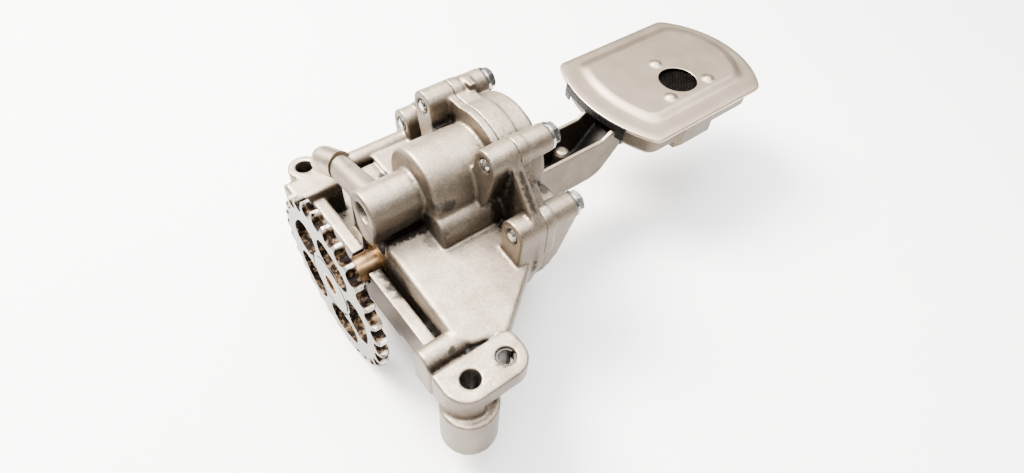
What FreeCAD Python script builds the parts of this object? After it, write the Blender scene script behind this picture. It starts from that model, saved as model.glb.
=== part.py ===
import FreeCAD, Part
import os
from math import acos, atan2, cos, degrees, hypot, pi, radians, sin, sqrt, tan

# Engine oil pump with a chain sprocket, two meshing gears, a relief valve and a pick-up strainer.
# X runs along the drive shaft from the sprocket to the strainer and Z points away from the
# face that bolts to the engine block. The origin is on the shaft axis in the middle plane of the sprocket.

# Chain sprocket
CHAIN_PITCH = 9.525
ROLLER_R = 3.175
ROLLER_PLAY = 0.12
SPROCKET_TEETH = 28
SPROCKET_W = 5.3
SPROCKET_TIP_R = 44.7
TOOTH_TIP_W = 1.5
TOOTH_SIDE_BEVEL = 0.9
SEAT_HALF_ANGLE = radians(75)
FIRST_GAP_ANGLE = radians(64.54)
WINDOWS = 5
WINDOW_IN_R = 16.5
WINDOW_OUT_R = 33.5
WINDOW_SPAN = radians(57)
FIRST_WINDOW_ANGLE = radians(38)
WINDOW_END_BULGE = 0.8
TOOTH_BEVEL_H = 2.4
HUB_RIM_W = 5.0
HUB_STEP_R = 15.0
HUB_STEP = 0.5

# Drive shaft and its bushes
SHAFT_R = 7.0
SHAFT_NOSE_R = 6.0
SHAFT_NOSE_BORE_R = 5.0
SHAFT_NOSE_BORE_DEPTH = 11.0
SHAFT_TAIL = 5.0
RUNNING_GAP = 0.05
BUSH_WALL = 1.5
FRONT_BUSH_L = 13.0
REAR_BUSH_L = 12.0

# Pump gears: equal spur gears side by side, the driven one above the drive shaft
GEAR_TEETH = 12
GEAR_MODULE = 3.0
PRESSURE_ANGLE = radians(25)
ADDENDUM = 0.85
DEDENDUM = 1.12
BACKLASH = 0.3
TIP_GAP = 0.3
FACE_GAP = 0.2
AXLE_R = 6.5
AXLE_SEAT_L = 10.0

# Housing: the seat on the engine block, the parting plane of the cover and the round bosses
BLOCK_FACE_Z = -26.4
PART_X = 81.0
POCKET_DEPTH = 14.0
COVER_WALL = 7.0
HOUSING_FRONT_X = 22.0
SHAFT_HOUSING_R = 15.0
CASE_R = 23.5
CASE_L = 16.0
DECK_R = 27.4
DECK_STEP = 0.5
DECK_STEP_X = 91.0
FLANGE_T = 4.0
COVER_FLANGE_T = 5.0

# Relief valve above the shaft, in the long stepped boss
VALVE_NOSE_X = 18.6
VALVE_NOSE_R = 10.6
VALVE_NOSE_LOW_R = 7.5
VALVE_NOSE_DROP = 12.0
VALVE_VENT_R = 5.75
VALVE_BORE_R = 7.5
VALVE_NOSE_WALL = 4.0
VALVE_STEP_X = 44.5
VALVE_CASE_R = 19.9
PISTON_L = 17.0
PISTON_WALL = 1.8
PISTON_CROWN = 3.0
SPRING_WIRE = 2.0
SPRING_TURNS = 5
SPRING_SIDES = 12
SPRING_SIDE_GAP = 0.5

# Outlet gallery beside the valve boss
GALLERY_Y = -16.8
GALLERY_Z = 23.2
GALLERY_R = 10.0
GALLERY_BORE_R = 6.0
GALLERY_X = 44.0

# Cover bolts: four long ones in the high bosses and two short ones low down
BOLT_R = 3.0
BOLT_HOLE_R = 3.4
BOLT_TIP_X = 65.8
BOLT_BOSS_R = 7.3
TOP_BOLT_Y = 24.0
TOP_BOLT_Z = 57.5
SIDE_BOLT_Y = 45.5
SIDE_BOLT_Z = 32.0
LOW_BOLT_Y = 32.7
LOW_BOLT_Z = -18.8
TOP_WEB_IN = 4.0
TOP_WEB_DROP = 20.0
SIDE_WEB_DROP = 16.0
LOW_WEB_IN = 8.0
LOW_WEB_RISE = 6.0
BOSS_FRONT_GAP = 0.6
SIDE_RIM_W = 2.0
COVER_END_X = 100.0
LOW_BOSS_END_X = 97.0
GUSSET_H = 28.0
HEAD_H = 5.0
HEAD_AF = 10.0
HEAD_FLANGE_R = 6.6
HEAD_FLANGE_T = 1.4

# Locating pins between body and cover
PIN_R = 2.5
PIN_L = 12.0
PIN_Y = 32.0
PIN_Z = 8.0

# Foot on the camera side, with two bolt holes, and the eye of the far lug
FOOT_HOLE_R = 4.375
FOOT_TOP_Z = 15.6
FOOT_Y = -84.2
FOOT_HOLE_X = 17.0
FOOT_HOLE_SPACING = 17.8
FOOT_LEFT_X = 4.8
FOOT_RIGHT_X = 44.3
FOOT_NEAR_Y = -94.0
FOOT_BACK_Y = -73.7
FOOT_LEFT_R = 11.5
FOOT_RIGHT_R = 10.0
FOOT_STEP_X = 17.4
FOOT_FLANGE_T = 15.0
FOOT_STEP_T = 9.0
LEG_X = 15.8
LEG_Y = -85.4
LEG_R = 12.9
LUG_X = 20.0
LUG_Y = 69.0
LUG_TOP_Z = 8.7
LUG_EYE_R = 8.4
DOWEL_FREE_R = 4.0
DOWEL_WALL = 1.0
DOWEL_L = 12.0
DOWEL_SLOT = 1.6

# Outlet duct from the gallery to the foot
ROOF_Z = 19.0
ROOF_SLOPE_Y = -25.0
ROOF_END_Z = 13.4
DUCT_FLOOR_Z = -13.0
DUCT_WALL = 4.5
DUCT_LEFT_X = 22.0
DUCT_RIGHT_X = 43.5
DUCT_END_Y = -71.5
DUCT_EDGE_R = 3.0
DUCT_CORNER = 6.0
DUCT_CORNER_R = 4.0
DUCT_ROOT_Y = -8.0
DUCT_SKEW_Y = 4.5
DUCT_OUT_Y = 4.0
PASSAGE_ROOT_Y = -20.0
PASSAGE_TURN_Y = -34.0
PASSAGE_END = 6.0
OUTLET_R = 8.0
OUTLET_X = 36.0
OUTLET_Y = -58.0
OUTLET_COLLAR_R = 12.0

# Front beam behind the sprocket
BEAM_X = 13.5
BEAM_T = 6.5
BEAM_LOW_Z = -15.0
BEAM_TOP_Z = 4.0
BEAM_END_Y = 60.0

# Short round lump that blends the beam into the foot
LUMP_R = 6.5
LUMP_X0 = 6.5
LUMP_X1 = 28.5
LUMP_Y = -63.5
LUMP_Z = 7.5
LUMP_LOW_Z = -10.5

# Cross bar from the valve boss towards the lug, closed by a pressed cap
BAR_X = 28.5
BAR_R = 5.7
BAR_NEAR_R = 7.8
BAR_END_Y = 44.0
BAR_NEAR_Z = 33.7
BAR_END_Z = 25.4
BAR_BORE_R = 4.0
PLUG_R = 7.2
PLUG_H = 16.5
PLUG_ROUND = 5.0
PLUG_SINK = 2.0
PLUG_LEAN_X = -0.286
PLUG_LEAN_Z = -0.276

# Rail on the far side, the webs that tie it to the valve case and the bar, and the pocket below them
RAIL_R = 5.0
RAIL_Y = 44.0
RAIL_Z = 23.0
WEB_TOP_Z = 25.9
WEB_LOW_Z = 14.0
PAD_TOP_Z = 25.0
PIT_FLOOR_Z = 20.0
BAR_WEB_T = 5.0

# Suction channel that leads from the strainer to the cover
CHANNEL_NEAR_Y = -14.2
CHANNEL_FAR_Y = 9.0
CHANNEL_WALL = 2.4
CHANNEL_TOP_Z = 20.2
CHANNEL_RISE_X = 154.0
CHANNEL_RISE_Z = 23.4
CHANNEL_RISE_L = 6.0
CHANNEL_LOW_Z = -5.0
CHANNEL_END_X = 168.0
CHANNEL_CURVE_L = 14.0
INLET_PORT_R = 3.4
INLET_PORT_Y = 2.8
INLET_PORT_Z = 12.8
STUD_X = 139.5
STUD_Y = 1.6
STUD_R = 4.4
STUD_H = 12.5

# Strainer: pressed plate over a cup, with a gauze under the inlet and a lipped seal
PLATE_TOP_Z = 30.0
PLATE_T = 1.2
PLATE_STEP = 1.6
PLATE_LIP = 2.0
RIM_W = 9.0
SLOPE_W = 5.5
PANEL_SHIFT_X = 3.0
PANEL_SHIFT_Y = 2.0
PLATE_NEAR_Y = -37.0
PLATE_FAR_Y = 43.8
PLATE_LEFT_X = 159.6
PLATE_RIGHT_X = 271.5
PLATE_LEFT_CORNER_X = 171.0
PLATE_RIGHT_CORNER_X = 254.0
PLATE_CORNER_R = 9.0
INLET_X = 216.6
INLET_Y = -6.9
INLET_R = 11.0
DIMPLE_R = 4.0
DIMPLE_H = 1.5
DIMPLE_RING_R = 17.8
FIRST_DIMPLE_ANGLE = radians(90)
CUP_INSET = 4.5
CUP_BEVEL = 5.0
CUP_WALL = 2.0
CUP_FLOOR_Z = 10.0
PAD_X0 = 192.0
PAD_X1 = 221.0
PAD_DEPTH = 11.0
PAD_LOW_Z = 9.5
PAD_BEVEL = 3.0
GAUZE_WIRE = 0.8
GAUZE_BARS = 6
GAUZE_FRAME = 2.0
GAUZE_MARGIN = 0.2
SEAL_OUT = 1.0
SEAL_LIPS = 3
SEAL_H = 3.6
SEAL_TAB_W = 5.0
SEAL_TAB_LOW_Z = 20.5
SEAL_NEAR_Y = -20.0
SEAL_FAR_Y = 27.5

# Clearances: where one fixed piece passes round another, and where a piece seats on another
FIT_GAP = 0.1
SEAT_GAP = 0.3

# Places that follow from the sizes above
CENTRE = GEAR_MODULE * GEAR_TEETH
PITCH_R = CENTRE / 2
GEAR_TIP_R = PITCH_R + ADDENDUM * GEAR_MODULE
GEAR_ROOT_R = PITCH_R - DEDENDUM * GEAR_MODULE
POCKET_R = GEAR_TIP_R + TIP_GAP
POCKET_END_X = PART_X + POCKET_DEPTH
CASE_END_X = POCKET_END_X + COVER_WALL
BUSH_R = SHAFT_R + RUNNING_GAP + BUSH_WALL
SHAFT_END_X = POCKET_END_X + SHAFT_TAIL
PLATE_MID_Y = (PLATE_NEAR_Y + PLATE_FAR_Y) / 2


def vec(x, y, z):
    return FreeCAD.Vector(x, y, z)


def on_x(x):
    """Places plane coordinates (y, z) at the given x."""
    return lambda u, v: vec(x, u, v)


def on_y(y):
    """Places plane coordinates (x, z) at the given y."""
    return lambda u, v: vec(u, y, v)


def on_z(z):
    """Places plane coordinates (x, y) at the given z."""
    return lambda u, v: vec(u, v, z)


def rod(x0, x1, r, y=0.0, z=0.0):
    """Round bar along X."""
    return Part.makeCylinder(r, x1 - x0, vec(x0, y, z), vec(1, 0, 0))


def post(z0, z1, r, x, y, r_top=None):
    """Round or tapered bar along Z."""
    if r_top is None or r_top == r:
        return Part.makeCylinder(r, z1 - z0, vec(x, y, z0))
    return Part.makeCone(r, r_top, z1 - z0, vec(x, y, z0))


def block(x0, x1, y0, y1, z0, z1):
    return Part.makeBox(x1 - x0, y1 - y0, z1 - z0, vec(x0, y0, z0))


def fuse(first, *others):
    return first.multiFuse(list(others)).removeSplitter()


def group(shapes):
    return Part.makeCompound(shapes)


def rounded(points, radii, place):
    """Face through the corner points, each corner rounded by its radius."""
    count = len(points)
    corners = []
    for i, (u, v) in enumerate(points):
        before = points[i - 1]
        after = points[(i + 1) % count]
        to_before = (before[0] - u, before[1] - v)
        to_after = (after[0] - u, after[1] - v)
        la = hypot(*to_before)
        lb = hypot(*to_after)
        a = (to_before[0] / la, to_before[1] / la)
        b = (to_after[0] / lb, to_after[1] / lb)
        half = acos(a[0] * b[0] + a[1] * b[1]) / 2
        cut = radii[i] / tan(half)
        reach = radii[i] / sin(half) - radii[i]
        bis = (a[0] + b[0], a[1] + b[1])
        size = hypot(*bis)
        first = (u + a[0] * cut, v + a[1] * cut)
        middle = (u + bis[0] / size * reach, v + bis[1] / size * reach)
        last = (u + b[0] * cut, v + b[1] * cut)
        corners.append((first, middle, last))
    edges = []
    for i, (first, middle, last) in enumerate(corners):
        if radii[i] > 0:
            edges.append(Part.Arc(place(*first), place(*middle), place(*last)).toShape())
        edges.append(Part.makeLine(place(*last), place(*corners[(i + 1) % count][0])))
    return Part.Face(Part.Wire(edges))


def pill(c1, r1, c2, r2, place):
    """Face bounded by two circles and the straight lines that touch both."""
    lean = atan2(c2[1] - c1[1], c2[0] - c1[0])
    spread = acos((r1 - r2) / hypot(c2[0] - c1[0], c2[1] - c1[1]))

    def at(c, r, angle):
        return place(c[0] + r * cos(angle), c[1] + r * sin(angle))

    left = lean + spread
    right = lean - spread
    edges = [
        Part.makeLine(at(c1, r1, right), at(c2, r2, right)),
        Part.Arc(at(c2, r2, right), at(c2, r2, lean), at(c2, r2, left)).toShape(),
        Part.makeLine(at(c2, r2, left), at(c1, r1, left)),
        Part.Arc(at(c1, r1, left), at(c1, r1, lean + pi), at(c1, r1, right)).toShape(),
    ]
    return Part.Face(Part.Wire(edges))


def pill_x(x0, x1, c1, r1, c2, r2):
    return pill(c1, r1, c2, r2, on_x(x0)).extrude(vec(x1 - x0, 0, 0))


def fillet_where(shape, radius, test):
    """Rounds the edges that pass the test."""
    edges = [e for e in shape.Edges if test(e)]
    return shape.makeFillet(radius, edges) if edges else shape


def bevel_where(shape, size, test):
    """Cuts a 45 degree bevel along the edges that pass the test."""
    edges = [e for e in shape.Edges if test(e)]
    return shape.makeChamfer(size, edges) if edges else shape


def flat(corners):
    """Flat face through the corners."""
    return Part.Face(Part.makePolygon(corners + corners[:1]))


def revolved(profile, base, along):
    """Solid of revolution from (distance, radius) points, laid from the base point along a direction."""
    wire = Part.makePolygon([vec(r, 0, h) for h, r in profile + profile[:1]])
    solid = Part.Face(wire).revolve(vec(0, 0, 0), vec(0, 0, 1), 360)
    turn = FreeCAD.Rotation(vec(0, 0, 1), along)
    return solid.transformed(FreeCAD.Placement(base, turn).toMatrix())


def polar(r, angle, place):
    return place(r * cos(angle), r * sin(angle))


# Chain sprocket

def sprocket_outline(place):
    """Closed tooth outline: a roller seat, two flanks and a tip arc for each tooth."""
    pitch_r = CHAIN_PITCH / (2 * sin(pi / SPROCKET_TEETH))
    seat_r = ROLLER_R + ROLLER_PLAY
    step = 2 * pi / SPROCKET_TEETH
    seat_u = pitch_r - seat_r * cos(SEAT_HALF_ANGLE)
    seat_v = seat_r * sin(SEAT_HALF_ANGLE)
    seat_end_r = hypot(seat_u, seat_v)
    seat_end_a = atan2(seat_v, seat_u)
    tip_a = step / 2 - TOOTH_TIP_W / 2 / SPROCKET_TIP_R
    edges = []
    for k in range(SPROCKET_TEETH):
        gap = FIRST_GAP_ANGLE + k * step
        seat_in = polar(seat_end_r, gap - seat_end_a, place)
        seat_out = polar(seat_end_r, gap + seat_end_a, place)
        root = polar(pitch_r - seat_r, gap, place)
        tip_in = polar(SPROCKET_TIP_R, gap + tip_a, place)
        tip_mid = polar(SPROCKET_TIP_R, gap + step / 2, place)
        tip_out = polar(SPROCKET_TIP_R, gap + step - tip_a, place)
        next_seat = polar(seat_end_r, gap + step - seat_end_a, place)
        edges.append(Part.Arc(seat_in, root, seat_out).toShape())
        edges.append(Part.makeLine(seat_out, tip_in))
        edges.append(Part.Arc(tip_in, tip_mid, tip_out).toShape())
        edges.append(Part.makeLine(tip_out, next_seat))
    return Part.Face(Part.Wire(edges))


def window(angle, place):
    """One kidney window of the web, a ring sector with rounded corners."""
    mid_r = (WINDOW_IN_R + WINDOW_OUT_R) / 2
    end_r = (WINDOW_OUT_R - WINDOW_IN_R) / 2
    bulge = end_r * WINDOW_END_BULGE
    half = WINDOW_SPAN / 2 - end_r / mid_r / 1.4

    def ring(r, a0, a1):
        a_mid = (a0 + a1) / 2
        return Part.Arc(polar(r, a0, place), polar(r, a_mid, place), polar(r, a1, place)).toShape()

    def cap(a, turn):
        centre = (mid_r * cos(a), mid_r * sin(a))
        side = (-sin(a) * turn, cos(a) * turn)
        return place(centre[0] + side[0] * bulge, centre[1] + side[1] * bulge)

    a0 = angle - half
    a1 = angle + half
    edges = [
        ring(WINDOW_IN_R, a0, a1),
        Part.Arc(polar(WINDOW_IN_R, a1, place), cap(a1, 1), polar(WINDOW_OUT_R, a1, place)).toShape(),
        ring(WINDOW_OUT_R, a1, a0),
        Part.Arc(polar(WINDOW_OUT_R, a0, place), cap(a0, -1), polar(WINDOW_IN_R, a0, place)).toShape(),
    ]
    return Part.Face(Part.Wire(edges))


def bevelled_disc():
    """Disc that trims the tooth tips to a taper on both sides."""
    half = SPROCKET_W / 2
    low_r = SPROCKET_TIP_R - TOOTH_BEVEL_H
    high_r = SPROCKET_TIP_R + 0.1
    shoulder = half - TOOTH_SIDE_BEVEL
    outline = [(-half, 0), (-half, low_r), (-shoulder, high_r), (shoulder, high_r), (half, low_r), (half, 0)]
    wire = Part.makePolygon([vec(x, 0, r) for x, r in outline + outline[:1]])
    return Part.Face(wire).revolve(vec(0, 0, 0), vec(1, 0, 0), 360)


def drive_sprocket():
    half = SPROCKET_W / 2
    along = vec(SPROCKET_W, 0, 0)
    wheel = sprocket_outline(on_x(-half)).extrude(along).common(bevelled_disc())
    cuts = [rod(-half, half, SHAFT_NOSE_R)]
    for k in range(WINDOWS):
        angle = FIRST_WINDOW_ANGLE + 2 * pi * k / WINDOWS
        cuts.append(window(angle, on_x(-half)).extrude(along))
    hub_step = rod(-half, -half + HUB_STEP, SPROCKET_TIP_R - HUB_RIM_W).cut(rod(-half, -half + HUB_STEP, HUB_STEP_R))
    hub_step = hub_step.common(rod(-half, half, WINDOW_IN_R))
    return wheel.cut(group(cuts)).cut(hub_step)


def drive_shaft():
    back = SPROCKET_W / 2
    shaft = fuse(rod(-back, back, SHAFT_NOSE_R), rod(back, SHAFT_END_X, SHAFT_R))
    return shaft.cut(rod(-back, SHAFT_NOSE_BORE_DEPTH, SHAFT_NOSE_BORE_R))


# Pump gears

def involute(base_r, r):
    """Polar angle of the involute of base_r where it reaches radius r."""
    roll = sqrt((r / base_r) ** 2 - 1)
    return roll - atan2(roll, 1)


def gear_outline(y, z, turn, place):
    """Closed outline of teeth, each flank the arc through three points of its involute."""
    base_r = PITCH_R * cos(PRESSURE_ANGLE)
    start_r = max(base_r, GEAR_ROOT_R) + 0.01
    half_pitch = (pi * GEAR_MODULE / 2 - BACKLASH) / 2 / PITCH_R
    zero = half_pitch + involute(base_r, PITCH_R)
    step = 2 * pi / GEAR_TEETH

    def at(r, a):
        return place(y + r * cos(a), z + r * sin(a))

    def flank(centre, side):
        radii = [start_r, (start_r + GEAR_TIP_R) / 2, GEAR_TIP_R]
        points = [at(r, centre + side * (zero - involute(base_r, r))) for r in radii]
        return Part.Arc(*points).toShape(), points[0], points[-1]

    edges = []
    for k in range(GEAR_TEETH):
        centre = turn + k * step
        rise, rise_low, rise_high = flank(centre, -1)
        fall, fall_low, fall_high = flank(centre, 1)
        root_half = zero
        root_in = at(GEAR_ROOT_R, centre - root_half)
        root_out = at(GEAR_ROOT_R, centre + root_half)
        next_in = at(GEAR_ROOT_R, centre + step - root_half)
        edges.append(Part.makeLine(root_in, rise_low))
        edges.append(rise)
        edges.append(Part.Arc(rise_high, at(GEAR_TIP_R, centre), fall_high).toShape())
        edges.append(fall)
        edges.append(Part.makeLine(fall_low, root_out))
        edges.append(Part.Arc(root_out, at(GEAR_ROOT_R, centre + step / 2), next_in).toShape())
    return Part.Face(Part.Wire(Part.__sortEdges__(edges)))


def pump_gear(z, turn, bore_r):
    x0 = PART_X + FACE_GAP
    width = POCKET_END_X - FACE_GAP - x0
    blank = gear_outline(0, z, turn, on_x(x0)).extrude(vec(width, 0, 0))
    return blank.cut(rod(x0, x0 + width, bore_r, 0, z))


def drive_gear():
    return pump_gear(0, pi / 2, SHAFT_R)


def driven_gear():
    """A gap of this gear faces the tooth of the drive gear that points straight up."""
    half_step = pi / GEAR_TEETH
    return pump_gear(CENTRE, -pi / 2 + half_step, AXLE_R + RUNNING_GAP + BUSH_WALL)


def axle_bush():
    x0 = PART_X + FACE_GAP
    x1 = POCKET_END_X - FACE_GAP
    bore_r = AXLE_R + RUNNING_GAP
    return rod(x0, x1, bore_r + BUSH_WALL, 0, CENTRE).cut(rod(x0, x1, bore_r, 0, CENTRE))


def idler_axle():
    """Pressed in the body behind the relief valve, with its tail in the cover."""
    return rod(PART_X - AXLE_SEAT_L, SHAFT_END_X, AXLE_R, 0, CENTRE)


def bush(x0, length):
    return rod(x0, x0 + length, BUSH_R).cut(rod(x0, x0 + length, SHAFT_R + RUNNING_GAP))


# Relief valve

VALVE_SEAT_X = VALVE_NOSE_X + VALVE_NOSE_WALL
PISTON_X1 = PART_X - AXLE_SEAT_L - SEAT_GAP
PISTON_X0 = PISTON_X1 - PISTON_L


def relief_piston():
    """Cup that is open towards the spring."""
    r = VALVE_BORE_R - RUNNING_GAP
    cup = rod(PISTON_X0, PISTON_X1, r, 0, CENTRE)
    hollow = rod(PISTON_X0, PISTON_X1 - PISTON_CROWN, r - PISTON_WALL, 0, CENTRE)
    return cup.cut(hollow)


def relief_spring():
    """Square wire wound in short straight runs between the end of the bore and the crown of the piston."""
    wire_r = SPRING_WIRE / 2
    coil_r = VALVE_BORE_R - RUNNING_GAP - PISTON_WALL - SPRING_SIDE_GAP - wire_r
    x0 = VALVE_SEAT_X + wire_r + FIT_GAP
    x1 = PISTON_X1 - PISTON_CROWN - wire_r - FIT_GAP
    count = SPRING_TURNS * SPRING_SIDES
    sections = []
    for k in range(count + 1):
        angle = 2 * pi * k / SPRING_SIDES
        x = x0 + (x1 - x0) * k / count
        corners = []
        for dr, dx in ((-wire_r, -wire_r), (wire_r, -wire_r), (wire_r, wire_r), (-wire_r, wire_r)):
            r = coil_r + dr
            corners.append(vec(x + dx, r * cos(angle), CENTRE + r * sin(angle)))
        sections.append(corners)
    faces = [flat(sections[0]), flat(sections[-1])]
    for near, far in zip(sections, sections[1:]):
        for i in range(4):
            j = (i + 1) % 4
            faces.append(flat([near[i], near[j], far[j]]))
            faces.append(flat([near[i], far[j], far[i]]))
    return Part.Solid(Part.Shell(faces))


# Housing

def bolt_places():
    """Axis (y, z) of each cover bolt, with the x where its boss ends in the cover."""
    places = []
    for side in (-1, 1):
        places.append((side * TOP_BOLT_Y, TOP_BOLT_Z, COVER_END_X))
        places.append((side * SIDE_BOLT_Y, SIDE_BOLT_Z, COVER_END_X))
        places.append((side * LOW_BOLT_Y, LOW_BOLT_Z, LOW_BOSS_END_X))
    return places


def flange(x0, x1, low_corner_z, edge_r):
    """Flat flange round the gear pocket and the bolt bosses, with its lower corners at the given height."""
    side_y = SIDE_BOLT_Y + BOLT_BOSS_R
    top_z = SIDE_BOLT_Z + BOLT_BOSS_R
    low_y = LOW_BOLT_Y + BOLT_BOSS_R
    low_z = LOW_BOLT_Z - BOLT_BOSS_R
    corners = [
        (-side_y, top_z), (-side_y, low_corner_z), (-low_y, low_z),
        (low_y, low_z), (side_y, low_corner_z), (side_y, top_z),
    ]
    plate = rounded(corners, [BOLT_BOSS_R] * 6, on_x(x0)).extrude(vec(x1 - x0, 0, 0))
    pieces = [deck(x0, x1)]
    for side in (-1, 1):
        top = (side * TOP_BOLT_Y, TOP_BOLT_Z)
        out = (side * SIDE_BOLT_Y, SIDE_BOLT_Z)
        pieces.append(rod(x0, x1, BOLT_BOSS_R, *top))
        pieces.append(rod(x0, x1, BOLT_BOSS_R, *out))
        pieces.append(pill_x(x0, x1, top, edge_r, out, edge_r))
    return fuse(plate, *pieces)


def deck(x0, x1):
    """Round deck over the relief valve, with the flat that fills its corner at the far top boss."""
    flat_z = TOP_BOLT_Z + 4
    flat = block(x0, x1, 0, TOP_BOLT_Y, CENTRE, flat_z)
    return fuse(rod(x0, x1, DECK_R, 0, CENTRE), flat)


def body_bosses():
    """Bolt bosses in front of the flange, each with a web that runs down from it."""
    front = BOLT_TIP_X + BOSS_FRONT_GAP
    r = BOLT_BOSS_R
    pieces = []
    for side in (-1, 1):
        top = (side * TOP_BOLT_Y, TOP_BOLT_Z)
        top_root = (side * (TOP_BOLT_Y - TOP_WEB_IN), TOP_BOLT_Z - TOP_WEB_DROP)
        pieces.append(pill_x(front, PART_X, top, r, top_root, r - 1))
        out = (side * SIDE_BOLT_Y, SIDE_BOLT_Z)
        out_root = (side * (SIDE_BOLT_Y - 0.5), SIDE_BOLT_Z - SIDE_WEB_DROP)
        pieces.append(pill_x(front, PART_X, out, r, out_root, r - 0.5))
        low = (side * LOW_BOLT_Y, LOW_BOLT_Z)
        low_root = (side * (LOW_BOLT_Y - LOW_WEB_IN), LOW_BOLT_Z + LOW_WEB_RISE)
        pieces.append(pill_x(front, PART_X, low, r, low_root, r))
    return pieces


def side_rim(side, x0, x1):
    """Raised rim along the slanted edge of the flange between two bosses."""
    outer = BOLT_BOSS_R - SIDE_RIM_W
    top = (side * TOP_BOLT_Y, TOP_BOLT_Z)
    out = (side * SIDE_BOLT_Y, SIDE_BOLT_Z)
    length = hypot(top[0] - out[0], top[1] - out[1])
    lean = side * outer / length
    shift = ((top[1] - out[1]) * lean, (out[0] - top[0]) * lean)
    c1 = (top[0] + shift[0], top[1] + shift[1])
    c2 = (out[0] + shift[0], out[1] + shift[1])
    return pill_x(x0, x1, c1, SIDE_RIM_W, c2, SIDE_RIM_W)


def duct():
    """Duct between the gear case and the foot, under a roof with rounded edges that slopes to the foot."""
    corners = [
        (DUCT_LEFT_X, DUCT_ROOT_Y),
        (DUCT_LEFT_X, DUCT_END_Y + DUCT_CORNER),
        (DUCT_LEFT_X + DUCT_CORNER, DUCT_END_Y),
        (DUCT_RIGHT_X, DUCT_END_Y - DUCT_SKEW_Y),
        (PART_X - FLANGE_T / 2, -SIDE_BOLT_Y - DUCT_OUT_Y),
        (PART_X - FLANGE_T / 2, DUCT_ROOT_Y),
    ]
    low = DUCT_FLOOR_Z - 10
    face = rounded(corners, [DUCT_CORNER_R] * 6, on_z(low))
    solid = face.extrude(vec(0, 0, ROOF_Z - low))
    solid = fillet_where(solid, DUCT_EDGE_R, lambda e: e.BoundBox.ZMin > ROOF_Z - 0.01)
    slope = atan2(ROOF_Z - ROOF_END_Z, ROOF_SLOPE_Y - DUCT_END_Y)
    solid.rotate(vec(0, ROOF_SLOPE_Y, ROOF_Z), vec(1, 0, 0), degrees(slope))
    return solid.cut(block(0, PART_X, FOOT_Y - 20, 20, low - 20, DUCT_FLOOR_Z))


def duct_passage():
    """Hollow of the duct, from the gallery to the outlet in the seat on the block."""
    right = GALLERY_X + 16
    end = OUTLET_Y - PASSAGE_END
    corners = [
        (DUCT_LEFT_X + 14, PASSAGE_ROOT_Y),
        (DUCT_LEFT_X + 6, end),
        (OUTLET_X + OUTLET_R + 1, end),
        (right, PASSAGE_TURN_Y),
        (right, PASSAGE_ROOT_Y),
    ]
    low = DUCT_FLOOR_Z + DUCT_WALL
    face = rounded(corners, [2, 3, 3, 3, 2], on_z(low))
    hollow = face.extrude(vec(0, 0, ROOF_END_Z - DUCT_WALL - low))
    link = block(GALLERY_X + 4, right - 2, PASSAGE_ROOT_Y - 2, GALLERY_Y + 2, low + 12, GALLERY_Z)
    gallery = rod(GALLERY_X + 4, PART_X + 1, GALLERY_BORE_R, GALLERY_Y, GALLERY_Z)
    outlet = post(BLOCK_FACE_Z - 1, low + 2, OUTLET_R, OUTLET_X, OUTLET_Y)
    return fuse(hollow, link, gallery, outlet)


def foot():
    """Foot flange with its leg: thick round the first hole, stepped up under the second."""
    under = FOOT_TOP_Z - FOOT_STEP_T
    low = FOOT_TOP_Z - FOOT_FLANGE_T
    whole = [
        (FOOT_LEFT_X, FOOT_BACK_Y), (FOOT_LEFT_X, FOOT_NEAR_Y),
        (FOOT_RIGHT_X, FOOT_NEAR_Y), (FOOT_RIGHT_X, FOOT_BACK_Y),
    ]
    cap = rounded(whole, [1.5, FOOT_LEFT_R, FOOT_RIGHT_R, 4.5], on_z(under)).extrude(vec(0, 0, FOOT_STEP_T))
    cap = bevel_where(cap, 0.6, lambda e: e.BoundBox.ZMin > FOOT_TOP_Z - 0.01)
    thick = [
        (FOOT_LEFT_X, FOOT_BACK_Y), (FOOT_LEFT_X, FOOT_NEAR_Y),
        (FOOT_STEP_X, FOOT_NEAR_Y), (FOOT_STEP_X, FOOT_BACK_Y),
    ]
    first = rounded(thick, [1.5, FOOT_LEFT_R, 0.8, 0], on_z(low)).extrude(vec(0, 0, under - low))
    leg = post(BLOCK_FACE_Z, low, LEG_R, LEG_X, LEG_Y)
    neck = block(FOOT_LEFT_X + 3, LEG_X + 9, LEG_Y, LUMP_Y, DUCT_FLOOR_Z, LUMP_Z + 1)
    return [cap, first, leg, neck]


def lug():
    """Eye of the far lug, standing on the block, with the lump that ties it to the beam."""
    eye = post(BLOCK_FACE_Z, LUG_TOP_Z, LUG_EYE_R, LUG_X, LUG_Y)
    lump = block(BEAM_X - 8, BEAM_X + 17, BEAM_END_Y - 12, BEAM_END_Y + 4, BEAM_LOW_Z, LUG_TOP_Z)
    lump = fillet_where(lump, 2.5, lambda e: e.BoundBox.ZMin > LUG_TOP_Z - 0.01)
    return [eye, lump]


def cross_bar():
    """Tapered bar that starts inside the nose and keeps behind its face."""
    along = vec(0, BAR_END_Y, BAR_END_Z - BAR_NEAR_Z)
    bar = Part.makeCone(BAR_NEAR_R, BAR_R, along.Length, vec(BAR_X, 0, BAR_NEAR_Z), along)
    return bar.cut(block(VALVE_NOSE_X - 5, VALVE_NOSE_X + 0.8, -10, VALVE_NOSE_R, 0, CENTRE + 20))


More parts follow.
